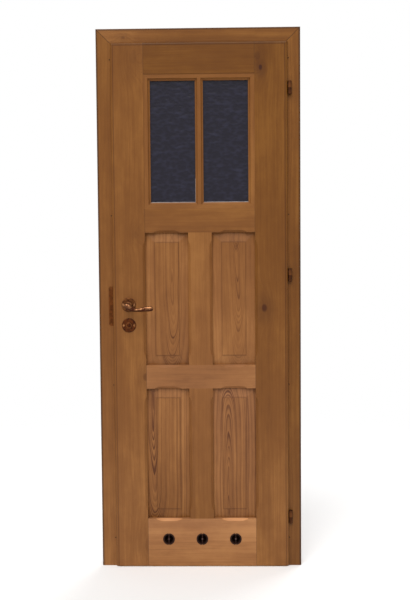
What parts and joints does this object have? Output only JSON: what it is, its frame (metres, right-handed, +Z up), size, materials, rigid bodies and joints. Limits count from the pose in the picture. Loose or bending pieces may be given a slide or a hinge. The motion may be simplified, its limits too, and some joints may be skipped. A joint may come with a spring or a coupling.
{
  "type": "interior door with frame",
  "caption": "Rebated panelled pine bathroom door with glazed top, vent sleeves, lever handle and privacy lock, hung on barrel hinges in its lining frame.",
  "frame": {"origin": "on the floor, midway between the outer edges of the frame, at the middle of the leaf's thickness", "axes": "+Z up; -Y is the side towards which the leaf opens, seen in the picture; +X towards the hinges"},
  "size_m": [0.77, 0.1662, 2.055],
  "materials": {
    "frame_pine": "satin varnish",
    "leaf_pine": "satin varnish",
    "panel_pine": "satin varnish",
    "bead_pine": "satin varnish",
    "rippled_glass": "rippled, dark",
    "brown_plastic": "matt",
    "antique_brass": "antique",
    "bronzed_steel": "bronzed",
    "zinc_steel": "zinc plated",
    "brown_rubber": "matt"
  },
  "bodies": {
    "frame": {"lock_jamb": "frame_pine", "hinge_jamb": "frame_pine", "head_jamb": "frame_pine", "lock_face_board": "frame_pine", "hinge_face_board": "frame_pine", "head_face_board": "frame_pine", "frame_seal": "brown_rubber", "face_board_nails": "bronzed_steel", "corner_screws": "zinc_steel", "strike_plate": "bronzed_steel", "strike_screws": "bronzed_steel", "top_hinge_frame_half": "antique_brass", "middle_hinge_frame_half": "antique_brass", "bottom_hinge_frame_half": "antique_brass"},
    "leaf": {"lock_stile": "leaf_pine", "hinge_stile": "leaf_pine", "top_rail": "leaf_pine", "window_rail": "leaf_pine", "middle_rail": "leaf_pine", "bottom_rail": "leaf_pine", "upper_muntin": "leaf_pine", "lower_muntin": "leaf_pine", "upper_left_panel": "panel_pine", "upper_right_panel": "panel_pine", "lower_left_panel": "panel_pine", "lower_right_panel": "panel_pine", "front_bead_top": "bead_pine", "front_bead_bottom": "bead_pine", "front_bead_left": "bead_pine", "front_bead_right": "bead_pine", "rear_bead_top": "bead_pine", "rear_bead_bottom": "bead_pine", "rear_bead_left": "bead_pine", "rear_bead_right": "bead_pine", "front_glazing_bar": "bead_pine", "rear_glazing_bar": "bead_pine", "left_pane": "rippled_glass", "right_pane": "rippled_glass", "left_vent_sleeve": "brown_plastic", "middle_vent_sleeve": "brown_plastic", "right_vent_sleeve": "brown_plastic", "rear_vent_sleeves": "brown_plastic", "top_hinge_leaf_half": "antique_brass", "middle_hinge_leaf_half": "antique_brass", "bottom_hinge_leaf_half": "antique_brass", "front_lever_rose": "antique_brass", "rear_lever_rose": "antique_brass", "front_privacy_rose": "antique_brass", "rear_privacy_rose": "antique_brass", "rose_screws": "antique_brass", "lock_case": "bronzed_steel", "forend_screws": "bronzed_steel"},
    "levers": {"front_lever": "antique_brass", "rear_lever": "antique_brass", "lever_follower": "zinc_steel"},
    "latch": {"latch_bolt": "zinc_steel"},
    "privacy_turn": {"thumb_turn": "antique_brass", "release_disc": "antique_brass", "bolt_follower": "zinc_steel"},
    "bolt": {"dead_bolt": "zinc_steel"}
  },
  "joints": [
    {"name": "leaf_swing", "type": "hinge", "parent": "frame", "child": "leaf", "pos_m": [0.344, -0.0125, 1.124], "axis": [0, 0, 1], "range_deg": [0, 170]},
    {"name": "lever_turn", "type": "hinge", "parent": "leaf", "child": "levers", "pos_m": [-0.27, 0, 1.015], "axis": [0, 1, 0], "range_deg": [0, 40], "stiffness_Nm_per_rad": 1.5, "springref_deg": -28.65},
    {"name": "latch_slide", "type": "slide", "parent": "leaf", "child": "latch", "axis": [1, 0, 0], "range_m": [0, 0.01]},
    {"name": "privacy_turn", "type": "hinge", "parent": "leaf", "child": "privacy_turn", "pos_m": [-0.27, 0, 0.937], "axis": [0, -1, 0], "range_deg": [0, 90]},
    {"name": "bolt_slide", "type": "slide", "parent": "leaf", "child": "bolt", "axis": [-1, 0, 0], "range_m": [0, 0.016]}
  ],
  "couplings": [
    {"joint": "latch_slide", "follows": "lever_turn", "m_per_rad": 0.014324},
    {"joint": "privacy_turn", "follows": "bolt_slide", "rad_per_m": 98.174}
  ]
}
